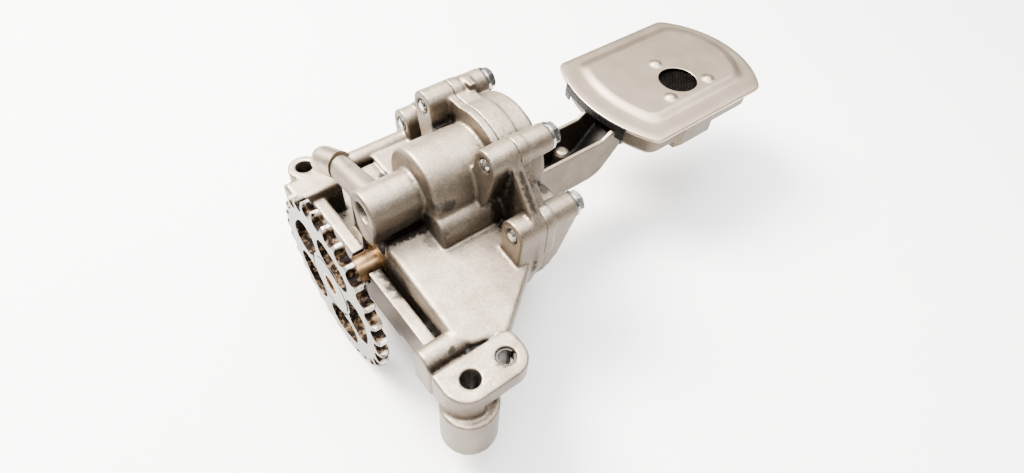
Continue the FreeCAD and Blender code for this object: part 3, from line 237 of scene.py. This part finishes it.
def dress(tree, shader, colour, rough, normal=None, metallic=1.0):
    """Connects the finished patterns to the shader."""
    sockets = {"Base Color": colour, "Roughness": rough, "Normal": normal, "Metallic": metallic}
    for socket, value in sockets.items():
        if isinstance(value, bpy.types.NodeSocket):
            tree.links.new(value, shader.inputs[socket])
        elif value is not None:
            shader.inputs[socket].default_value = value


def worked_steel(name, light, shade, roughness, along=(1, 1, 1), spot_mm=6, lines=0.25, edge_mm=0.2):
    """Machined or plated metal: even colour with faint patches and tool lines across the stretched axis."""
    material, tree, shader, place = start_material(name)
    line = noise(tree, vector_math(tree, "MULTIPLY", place, along), TOOL_LINE_MM, 2.0)
    colour = blend(tree, spread(tree, noise(tree, place, spot_mm, 4.0), 0.3, 0.75), light, shade)
    rough = spread(tree, line, 0, 1, roughness - 0.08, roughness + 0.12)
    dress(tree, shader, colour, rough, relief(tree, line, TOOL_LINE_DEPTH_MM, lines, edge_mm))
    return material


def sprocket_steel(name):
    """Sintered steel sprocket: pale satin side faces, brown burnt oil and painted shade on the tooth flanks and
    in the windows.
    """
    material, tree, shader, place = start_material(name)
    facing = add(tree, "ShaderNodeTexCoord").outputs["Normal"]
    side_on = math(tree, "ABSOLUTE", add(tree, "ShaderNodeSeparateXYZ", {"Vector": facing}).outputs["X"])
    grain = noise(tree, place, SINTER_GRAIN_MM)
    smear = noise(tree, place, BURNT_OIL_MM, 5.0, 0.65)
    face = blend(tree, smear, "#6a645d", "#4b4640")
    # The flanks, tooth gaps and window walls are painted dark: burnt oil and painted shade
    flank = blend(tree, spread(tree, smear, 0.50, 0.64), "#120b08", "#7d654c")
    # Chain rollers polish the flanks near the tooth tips
    out = vector_math(tree, "LENGTH", vector_math(tree, "MULTIPLY", place, (0, 1, 1)))
    reached = spread(tree, out, POLISH_FROM_MM * MM, POLISH_TO_MM * MM)
    tips = math(tree, "MULTIPLY", reached, spread(tree, smear, 0.40, 0.55))
    flank = blend(tree, tips, flank, "#e6dccb")
    colour = blend(tree, spread(tree, side_on, 0.55, 0.9), flank, face)
    normal = relief(tree, grain, SINTER_DEPTH_MM, 0.35, TOOTH_EDGE_MM)
    dress(tree, shader, colour, spread(tree, grain, 0, 1, 0.30, 0.52), normal, 0.9)
    return material


def moulded_rubber(name):
    """Black moulded nitrile rubber: near black with a soft oily sheen on its lips."""
    material, tree, shader, place = start_material(name)
    dust = noise(tree, place, RUBBER_DUST_MM, 4.0)
    colour = blend(tree, dust, "#050505", "#12100f")
    dress(tree, shader, colour, spread(tree, dust, 0, 1, 0.34, 0.6), None, 0.0)
    shader.inputs["Specular IOR Level"].default_value = LOW_SPECULAR
    return material


# Streaks of oil and of painted shade on the body in millimetres: start, end, reach and strength
BODY_OIL_AND_SHADE_STREAKS = [
    ((75, -29, 24), (74, -29, 50), 8.0, 1.0),      # pocket between the two near bosses
    ((78, -36, 56), (78, -48, 43), 3.2, 0.9),      # slanted rim
    ((43, -15, 40), (52, -20, 38), 4.0, 0.9),      # between valve case and gallery
    ((43, -18, 19), (43, -24, 28), 6.0, 0.62),     # blind end of the gallery
    ((23, -9, 18), (44, -10, 20), 5.0, 1.0),       # roof of the duct under the nose, painted shade
    ((20, -11, 27), (44, -13, 27), 4.6, 0.95),     # under side of the nose, painted shade
    ((21, -6, 8), (21, -24, 8), 8.5, 1.0),         # front of the housing beside the shaft
    ((22.5, -28, 5), (22.5, -62, 5), 2.8, 1.0),    # seam between beam and duct
    ((26, 0, 36), (44, 0, 36), 8.0, 1.0),          # inside the vent of the valve
    ((28, 12, 4), (27, 47, -4), 10.0, 1.0),        # behind the far half of the sprocket, painted shadow
    ((34, 39, 21), (43, 37.5, 22), 3.2, 1.0),      # pit behind the cap
    ((66, 14, 50), (77, 14, 50), 5.0, 1.0),        # arch beside the far top boss
    ((64, 37, 45), (75, 41, 41), 4.0, 1.0),        # between the two far bosses
    ((43, 25, 26), (43, 20, 33), 3.4, 0.9),        # far joint of nose and valve case
    ((18.2, -68.2, 12.6), (20, -67, 12.4), 1.8, 0.9),  # spot on the lump above the foot
    ((7, -68.5, 11), (14, -69.5, 11), 2.0, 0.75),  # edge of that lump
    ((70, -50, 14), (77, -46, 16), 3.4, 0.8),      # duct beside the low end of the flange
    ((79, -50.5, 13), (48, -74, 11), 1.3, 0.8),    # right edge of the duct
]
# Streaks of oil and of painted shade on the cover, in the same columns
COVER_OIL_AND_SHADE_STREAKS = [
    ((84, -34, 47), (88, -30, 40), 6.0, 0.9),      # slope behind the slanted rim
    ((88, -27, 31), (100, -28, 28), 5.5, 0.8),     # shoulder above the near gusset
    ((102, -17, 22), (104, 10, 24), 4.0, 0.9),     # end wall above the channel
]
# Boxes filled with oil: low and high corner in millimetres
CUP_BATHS = [((150, -14.25, 5), (177.5, 9.05, 26))]
CHANNEL_BATHS = [((101, -11.95, -3.4), (159, 6.75, 19.6)), ((150, -11.95, -3.4), (176, 6.75, 22.8))]

CAST = cast_aluminium("blasted_cast_aluminium", "#ab9e8c", "#887b6b", BODY_OIL_AND_SHADE_STREAKS)
CAST_COVER = cast_aluminium("blasted_cast_cover", "#ab9e8c", "#8a7d6d", COVER_OIL_AND_SHADE_STREAKS, CHANNEL_BATHS)
CAST_CUP = cast_aluminium("blasted_cast_cup", "#a39888", "#84796a", (), CUP_BATHS)
PRESSED = worked_steel("satin_pressed_sheet", "#b3a28e", "#a08f7c", 0.38, spot_mm=14, lines=0.12)
SPROCKET = sprocket_steel("sintered_sprocket_steel")
GROUND = worked_steel("ground_oil_tinted_steel", "#a3835f", "#5f4630", 0.28, along=(4, 0.3, 0.3), spot_mm=5)
ZINC = worked_steel("bright_zinc_plate", "#b3b1ac", "#6f6b66", 0.22, spot_mm=3, lines=0.1)
BRONZE = worked_steel("bearing_bronze", "#a37f4c", "#7f5d35", 0.34)
SPRING = worked_steel("dark_spring_steel", "#5a554f", "#35312c", 0.30)
TURNED = worked_steel("dull_turned_steel", "#9d9080", "#7b6f61", 0.42)
GAUZE = worked_steel("oily_gauze_wire", "#12100e", "#050404", 0.30)
RUBBER = moulded_rubber("black_nitrile_rubber")

FINISH = {
    "drive_sprocket": SPROCKET,
    "drive_shaft": GROUND, "idler_axle": GROUND, "cover_pins": GROUND,
    "drive_gear": TURNED, "driven_gear": TURNED, "relief_piston": TURNED, "gallery_plug": TURNED,
    "driven_gear_bush": BRONZE, "front_bush": BRONZE, "rear_bush": BRONZE, "cover_bush": BRONZE,
    "foot_dowel": SPRING,
    "cover_bolts": ZINC, "lower_cover_bolts": ZINC, "channel_stud": TURNED,
    "strainer_seal": RUBBER,
}


def finish_node(node, material):
    """Gives a CAD node its finish."""
    cad[node].data.materials.clear()
    cad[node].data.materials.append(material)


for node, material in FINISH.items():
    finish_node(node, material)


# Shapes

WELD_MM = 0.001
# Each smoothing pass pulls in and then slightly further out, so that the form doesn't shrink
SMOOTH_PULLS = (0.6, -0.62)
# How far round a drilled hole and off a milled face the metal stays sharp, and how fast that ends
HOLE_REACH_MM, HOLE_FADE_MM, HOLE_OVER_MM = 1.9, 1.0, 1
FACE_REACH_MM, FACE_FADE_MM = 0.9, 0.4


def new_piece(name, mesh, material, body):
    """Adds a smooth-shaded piece that rides on a body."""
    piece = bpy.data.objects.new(name, mesh)
    bpy.context.scene.collection.objects.link(piece)
    mesh.materials.clear()
    mesh.materials.append(material)
    mesh.shade_smooth()
    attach(piece, body)
    return piece


def applied(piece):
    """Mesh of a piece with its modifiers applied."""
    dressed = piece.evaluated_get(bpy.context.evaluated_depsgraph_get())
    return bpy.data.meshes.new_from_object(dressed)


def joined_faces(node, webs):
    """Copy of a CAD node's mesh with neighbouring faces joined and cast webs added by their corners."""
    form = bmesh.new()
    form.from_mesh(cad[node].data)
    bmesh.ops.remove_doubles(form, verts=form.verts, dist=WELD_MM * MM)
    for low, high in webs:
        spans = list(zip(low, high))
        corners = [Vector((x, y, z)) * MM for z in spans[2] for x in spans[0] for y in spans[1]]
        bmesh.ops.convex_hull(form, input=[form.verts.new(corner) for corner in corners])
    mesh = bpy.data.meshes.new(node + "_joined")
    form.to_mesh(mesh)
    form.free()
    return mesh


def smooth_cast(mesh, keep, passes):
    """Rounds a fine mesh as a casting's corners are, without shrinking it; keep is 1 where it stays sharp."""
    count = len(mesh.vertices)
    place = np.empty(count * 3)
    mesh.vertices.foreach_get("co", place)
    place = place.reshape(-1, 3)
    ends = np.empty(len(mesh.edges) * 2, int)
    mesh.edges.foreach_get("vertices", ends)
    ends = ends.reshape(-1, 2)
    a = np.concatenate([ends[:, 0], ends[:, 1]])
    b = np.concatenate([ends[:, 1], ends[:, 0]])
    near = np.bincount(a, minlength=count)[:, None]
    free = (1 - keep)[:, None]
    for _ in range(passes):
        for pull in SMOOTH_PULLS:
            sums = [np.bincount(a, weights=place[b, k], minlength=count) for k in range(3)]
            mean = np.stack(sums, 1) / near
            place += pull * free * (mean - place)
    mesh.vertices.foreach_set("co", place.ravel())
    mesh.update()


def machined_share(place, holes, faces):
    """1 on the walls and rims of drilled holes and on milled faces, falling to 0 a short way off."""
    keep = np.zeros(len(place))
    for axis, centre, radius, low, high in holes:
        u, v = [k for k in range(3) if k != axis]
        off = np.hypot(place[:, u] - centre[0] * MM, place[:, v] - centre[1] * MM) / MM
        inside = (place[:, axis] > (low - HOLE_OVER_MM) * MM) & (place[:, axis] < (high + HOLE_OVER_MM) * MM)
        keep = np.maximum(keep, inside * np.clip((radius + HOLE_REACH_MM - off) / HOLE_FADE_MM, 0, 1))
    for axis, level, low, high in faces:
        off = np.abs(place[:, axis] / MM - level)
        inside = np.all((place > np.array(low) * MM) & (place < np.array(high) * MM), axis=1)
        keep = np.maximum(keep, inside * np.clip((FACE_REACH_MM - off) / FACE_FADE_MM, 0, 1))
    return keep


def cast_piece(node, name, material, voxel_mm, passes, share, holes=(), faces=(), webs=()):
    """Casting made from a CAD node: its corners blend into each other, and its drilled holes stay sharp."""
    blank = new_piece(name, joined_faces(node, webs), material, "housing")
    target = BVHTree.FromObject(blank, bpy.context.evaluated_depsgraph_get())
    remesh = blank.modifiers.new("blend", "REMESH")
    remesh.mode = "VOXEL"
    remesh.voxel_size = voxel_mm * MM
    mesh = applied(blank)
    place = np.empty(len(mesh.vertices) * 3)
    mesh.vertices.foreach_get("co", place)
    place = place.reshape(-1, 3)
    keep = machined_share(place, holes, faces)
    for i in np.nonzero(keep > 0.5)[0]:
        place[i] = target.find_nearest(Vector(place[i]))[0]
    mesh.vertices.foreach_set("co", place.ravel())
    smooth_cast(mesh, keep, passes)
    blank.modifiers.clear()
    blank.data = mesh
    thin = blank.modifiers.new("lighten", "DECIMATE")
    thin.ratio = share
    blank.data = applied(blank)
    blank.modifiers.clear()
    blank.data.materials.clear()
    blank.data.materials.append(material)
    blank.data.shade_smooth()
    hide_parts(node)


# Holes as (axis, centre, radius, low, high) and milled faces as (axis, level, low corner, high corner)
BODY_HOLES = [
    (2, (17, -84.2), 4.375, -27, 16), (2, (34.8, -84.2), 4.375, 6, 16), (2, (20, 69), 4.375, -27, 9),
    (0, (0, 36), 5.75, 18, 24), (0, (0, 0), 8.5, 21, 36),
]
BODY_FACES = [
    (0, 81, (79, -60, -30), (83, 60, 70)),
    (2, -26.4, (0, -100, -28), (40, 80, -25)),
    (0, 18.6, (17, -12, 14), (20, 12, 48)),
]
# Cast webs as boxes that the solids don't have, low and high corner
BODY_WEBS = [
    ((14, 36, -18.4), (41, 66, -12.4)),  # floor behind the sprocket up to the lug, blackened by the painted shadow there
    ((30, 18, 19), (45, 36.5, 24.6)),  # filling beside the bar
]
CUP_WEBS = [((168.3, -14.1, 9.9), (178, 9, 12.2))]  # sill of the strainer's mouth
COVER_FACES = [(0, 81, (79, -60, -30), (83, 60, 70))]

cast_piece("pump_body", "cast_body", CAST, 0.75, 5, 0.4, BODY_HOLES, BODY_FACES, BODY_WEBS)
cast_piece("pump_cover", "cast_cover", CAST_COVER, 0.7, 4, 0.4, (), COVER_FACES)
cast_piece("strainer_cup", "cast_cup", CAST_CUP, 0.7, 4, 0.4, webs=CUP_WEBS)


# Strainer plate, in millimetres
NEAR_Y, FAR_Y = -37.0, 43.8
LEFT_X, LEFT_CORNER_X = 159.6, 171.0
RIGHT_X, RIGHT_CORNER_X = 271.5, 254.0
RIM_Z, PANEL_Z = 28.4, 30.2
INLET, INLET_R = (216.6, -6.9), 11.0
DIMPLE_R, DIMPLE_H, DIMPLE_RING_R = 3.9, 1.4, 17.8
DIMPLE_FOOT = 1.15
SHEET_T = 1.1
LIP_DROP = 0.5
# How far in and how high the rings of the rim are, from the turned-down edge inwards
RIM_RINGS = ((0, 26.5), (0, 27.7), (0.25, 28.2), (0.9, RIM_Z), (4, RIM_Z), (6.0, RIM_Z))
STEP_IN, STEP_W, STEP_RINGS = 8, 6.5, 11
# Lengths over which the corners of the rim and of the panel are rounded
RIM_ROUND, PANEL_ROUND = 7, 10
# The panel sits a little off the middle of the plate; the shift starts at this ring and takes this many
PANEL_SHIFT = (3, 2)
SHIFT_FROM, SHIFT_RINGS = 3, 3
# Share of the inset that the corners of the bowed ends move in
CORNER_INSET = 0.6
END_POINTS, OUTLINE_POINTS, RING_POINTS, PANEL_RINGS = 200, 1800, 300, 50

# Gauze, in millimetres. The real wires are finer and closer, and are drawn coarser so that they show.
GAUZE_Z, WIRE_PITCH, WIRE_R = 27.8, 1.1, 0.24
WEAVE_LIFT = 0.9
GAUZE_OVER, FRAME_OVER, FRAME_R = 1.0, 1.2, 0.9


def bowed_end(bulge_x, corner_x, low_y, high_y):
    """Points of a plate end that bows from its corners out to a middle."""
    half = (high_y - low_y) / 2
    sag = corner_x - bulge_x
    radius = (half ** 2 + sag ** 2) / (2 * sag)
    y = np.linspace(-half, half, END_POINTS)
    x = bulge_x + radius - np.sign(radius) * np.sqrt(radius ** 2 - y ** 2)
    return np.stack([x, y + (low_y + high_y) / 2], 1)


def plate_ring(inset, rounding):
    """Points round the plate's outline, moved in, with rounded corners, from the middle of the left end."""
    low_y, high_y = NEAR_Y + inset, FAR_Y - inset
    left = bowed_end(LEFT_X + inset, LEFT_CORNER_X + CORNER_INSET * inset, low_y, high_y)
    right = bowed_end(RIGHT_X - inset, RIGHT_CORNER_X - CORNER_INSET * inset, low_y, high_y)
    middle = END_POINTS // 2
    loop = np.concatenate([left[middle:], right[::-1], left[:middle + 1]])
    run = np.concatenate([[0], np.cumsum(np.hypot(*np.diff(loop, axis=0).T))])
    even = np.linspace(0, run[-1], OUTLINE_POINTS, endpoint=False)
    fine = np.stack([np.interp(even, run, loop[:, k]) for k in (0, 1)], 1)
    width = round(rounding / run[-1] * OUTLINE_POINTS)
    kernel = np.ones(width) / width
    pad = np.concatenate([fine[-width:], fine, fine[:width]])
    fine = np.stack([np.convolve(pad[:, k], kernel, "same")[width:-width] for k in (0, 1)], 1)
    return fine[np.linspace(0, OUTLINE_POINTS, RING_POINTS, endpoint=False).astype(int)]


def ease(t):
    """Share from 0 to 1 with a soft start and end."""
    return t * t * (3 - 2 * t)


def strainer_plate():
    """Pressed sheet: flat rim with a turned-down edge, a rolled step up to the panel, dimples and the inlet."""
    rings = [(plate_ring(inset, RIM_ROUND), z) for inset, z in RIM_RINGS]
    for t in np.linspace(0, 1, STEP_RINGS):
        rings.append((plate_ring(STEP_IN + STEP_W * t, PANEL_ROUND), RIM_Z + (PANEL_Z - RIM_Z) * ease(t)))
    shifted = []
    for i, (ring, z) in enumerate(rings):
        shifted.append((ring + np.array(PANEL_SHIFT) * min(1, max(0, (i - SHIFT_FROM) / SHIFT_RINGS)), z))
    rings = shifted

    # The panel runs in from its edge to the inlet
    edge = rings[-1][0]
    centre = np.array(INLET)
    lip = centre + INLET_R * (edge - centre) / np.hypot(*(edge - centre).T)[:, None]
    for t in np.linspace(0, 1, PANEL_RINGS)[1:]:
        rings.append((edge + (lip - edge) * t, PANEL_Z))
    rings.append((lip, PANEL_Z - LIP_DROP))

    points = np.array([[(x, y, z) for x, y in ring] for ring, z in rings])
    for k in range(3):
        turn = radians(90 + 120 * k)
        off_x = points[..., 0] - INLET[0] - DIMPLE_RING_R * cos(turn)
        off_y = points[..., 1] - INLET[1] - DIMPLE_RING_R * sin(turn)
        points[..., 2] += DIMPLE_H * ease(np.clip(DIMPLE_FOOT - np.hypot(off_x, off_y) / DIMPLE_R, 0, 1))

    count = RING_POINTS
    faces = []
    for i in range(len(rings) - 1):
        for j in range(count):
            k = (j + 1) % count
            faces.append((i * count + j, i * count + k, (i + 1) * count + k, (i + 1) * count + j))
    mesh = bpy.data.meshes.new("pressed_plate")
    mesh.from_pydata((points.reshape(-1, 3) * MM).tolist(), [], faces)
    if mesh.polygons[len(faces) // 2].normal.z < 0:
        mesh.flip_normals()
    plate = new_piece("pressed_plate", mesh, PRESSED, "housing")
    sheet = plate.modifiers.new("sheet", "SOLIDIFY")
    sheet.thickness = SHEET_T * MM
    sheet.offset = -1
    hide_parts("strainer_plate")


def tube(form, points, radius, sides=5):
    """Adds a round wire through points to a mesh."""
    rings = []
    for i, point in enumerate(points):
        ahead = (points[min(i + 1, len(points) - 1)] - points[max(i - 1, 0)]).normalized()
        side = ahead.cross(Vector((0, 0, 1))).normalized()
        up = side.cross(ahead)
        turns = [2 * pi * k / sides for k in range(sides)]
        rings.append([form.verts.new((point + (side * cos(a) + up * sin(a)) * radius) * MM) for a in turns])
    for near, far in zip(rings, rings[1:]):
        for k in range(sides):
            form.faces.new((near[k], near[(k + 1) % sides], far[(k + 1) % sides], far[k]))
    form.faces.new(rings[0][::-1])
    form.faces.new(rings[-1])


def strainer_gauze():
    """Woven gauze in a square frame under the inlet; each wire passes over and under those it crosses."""
    form = bmesh.new()
    half = INLET_R + GAUZE_OVER
    count = int(2 * half / WIRE_PITCH)
    steps = [-half + 2 * half * k / count for k in range(count + 1)]
    for i, across in enumerate(steps):
        for swap in (False, True):
            points = []
            for j, along in enumerate(steps):
                x, y = (across, along) if swap else (along, across)
                lift = WIRE_R * WEAVE_LIFT * (1 if (i + j + swap) % 2 else -1)
                points.append(Vector((INLET[0] + x, INLET[1] + y, GAUZE_Z + lift)))
            tube(form, points, WIRE_R)
    bar = INLET_R + FRAME_OVER
    turns = ((-bar, -bar), (bar, -bar), (bar, bar), (-bar, bar))
    corners = [Vector((INLET[0] + x, INLET[1] + y, GAUZE_Z)) for x, y in turns]
    for k in range(4):
        tube(form, [corners[k], corners[(k + 1) % 4]], FRAME_R, 8)
    mesh = bpy.data.meshes.new("woven_gauze")
    form.to_mesh(mesh)
    form.free()
    gauze = new_piece("woven_gauze", mesh, GAUZE, "housing")
    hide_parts("strainer_mesh")


def relief_spring():
    """The valve's coil spring, copied from its CAD node and riding on the housing."""
    mesh = cad["relief_spring"].data.copy()
    spring = new_piece("coiled_spring", mesh, SPRING, "housing")
    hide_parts("relief_spring")
    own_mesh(spring)


strainer_plate()
strainer_gauze()
relief_spring()


# Floor, light and camera

FLOOR_HALF = 4.0
FLOOR_GAP_MM = 0.5


def pale_floor():
    """Matt white paper under the pump."""
    material, tree, shader, place = start_material("pale_paper")
    dress(tree, shader, blend(tree, noise(tree, place, PAPER_TONE_MM), "#fdfdfd", "#fbfbfb"), 0.9, None, 0.0)
    mesh = bpy.data.meshes.new("floor")
    low = cad_box[0].z - FLOOR_GAP_MM * MM
    signs = ((-1, -1), (1, -1), (1, 1), (-1, 1))
    mesh.from_pydata([(x * FLOOR_HALF, y * FLOOR_HALF, low) for x, y in signs], [], [(0, 1, 2, 3)])
    mesh.materials.append(material)
    floor = bpy.data.objects.new("floor", mesh)
    bpy.context.scene.collection.objects.link(floor)


def softbox(name, towards, distance, size, power, colour="#ffffff"):
    """Square area light that looks at the middle of the pump from a direction."""
    middle = (cad_box[0] + cad_box[1]) / 2
    away = Vector(towards).normalized()
    light = bpy.data.lights.new(name, "AREA")
    light.size = size
    light.energy = power
    light.color = linear(colour)[:3]
    lamp = bpy.data.objects.new(name, light)
    lamp.location = middle + away * distance
    lamp.rotation_mode = "QUATERNION"
    lamp.rotation_quaternion = away.to_track_quat("Z", "Y")
    bpy.context.scene.collection.objects.link(lamp)


pale_floor()
# Name, direction from the pump, distance and size in metres, power in watts
softbox("key", (-0.34, 0.52, 0.78), 0.9, 0.42, 58, "#fff8ee")
softbox("overhead", (0.1, 0.1, 1.0), 1.5, 2.0, 105)
softbox("front", (-0.7, -0.9, 0.9), 1.2, 0.35, 7)

# Studio with a bright ceiling and dim walls
world = bpy.data.worlds.new("studio")
world.use_nodes = True
sky = world.node_tree
towards = add(sky, "ShaderNodeTexCoord").outputs["Generated"]
up = add(sky, "ShaderNodeSeparateXYZ", {"Vector": towards}).outputs["Z"]
room = sky.nodes["Background"].inputs
sky.links.new(blend(sky, spread(sky, up, 0.15, 0.8), "#4a4744", "#f4f6f8"), room["Color"])
room["Strength"].default_value = 1.3
bpy.context.scene.world = world

# Camera of the photograph: focal length in its pixels, place in millimetres and axes in the pump's frame
PHOTO_WIDTH_PX = 1024
FOCAL_PX = 650.53
CAMERA_PLACE = Vector((-56.03, -183.10, 250.56)) * MM
CAMERA_RIGHT = Vector((0.78839, -0.61252, 0.05712))
CAMERA_UP = Vector((0.44095, 0.62742, 0.64180))

lens = bpy.data.cameras.new("photo_camera")
lens.sensor_width = 36.0
lens.lens = lens.sensor_width * FOCAL_PX / PHOTO_WIDTH_PX
lens.clip_start = 0.01
lens.clip_end = 10.0
camera = bpy.data.objects.new("photo_camera", lens)
axes = Matrix((CAMERA_RIGHT, CAMERA_UP, CAMERA_RIGHT.cross(CAMERA_UP))).transposed()
camera.matrix_world = Matrix.Translation(CAMERA_PLACE) @ axes.to_4x4()
bpy.context.scene.collection.objects.link(camera)
bpy.context.scene.camera = camera
